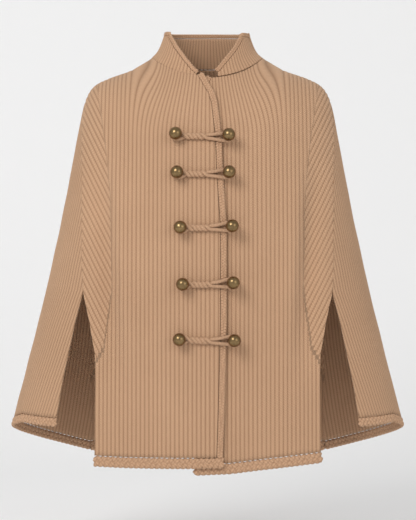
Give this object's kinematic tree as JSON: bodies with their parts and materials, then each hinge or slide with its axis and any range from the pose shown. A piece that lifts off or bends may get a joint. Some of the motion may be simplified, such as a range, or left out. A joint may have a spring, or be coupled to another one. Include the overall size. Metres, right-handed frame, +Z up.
{
  "type": "wool cape",
  "caption": "Hip-length ribbed wool cape, filled out with no wearer, with a funnel collar, arm slits, braided edges and ball-and-cord fastenings down the front.",
  "frame": {"origin": "middle of the neck base, level with the shoulders at the neck, where the wearer's neck and shoulders hold the cape", "axes": "+Z up, the front faces -Y, +X is the wearer's left"},
  "size_m": [0.6284, 0.283, 0.701],
  "materials": {
    "rib_knit": "soft camel wool rib knit, matt",
    "wool_braid": "braided camel wool yarn, matt",
    "antique_brass": "polished antique brass"
  },
  "bodies": {
    "root": {"front_right": "rib_knit", "front_left": "rib_knit", "side_right": "rib_knit", "side_left": "rib_knit", "back": "rib_knit", "collar": "rib_knit", "edge_collar": "wool_braid", "edge_front_right": "wool_braid", "edge_front_left": "wool_braid", "hem_front_right": "wool_braid", "hem_front_left": "wool_braid", "hem_side_right": "wool_braid", "hem_side_left": "wool_braid", "hem_back": "wool_braid", "cord_loop_1": "wool_braid", "cord_loop_2": "wool_braid", "cord_loop_3": "wool_braid", "cord_loop_4": "wool_braid", "cord_loop_5": "wool_braid", "ball_right_1": "antique_brass", "ball_right_2": "antique_brass", "ball_right_3": "antique_brass", "ball_right_4": "antique_brass", "ball_right_5": "antique_brass", "ball_left_1": "antique_brass", "ball_left_2": "antique_brass", "ball_left_3": "antique_brass", "ball_left_4": "antique_brass", "ball_left_5": "antique_brass"}
  },
  "joints": []
}
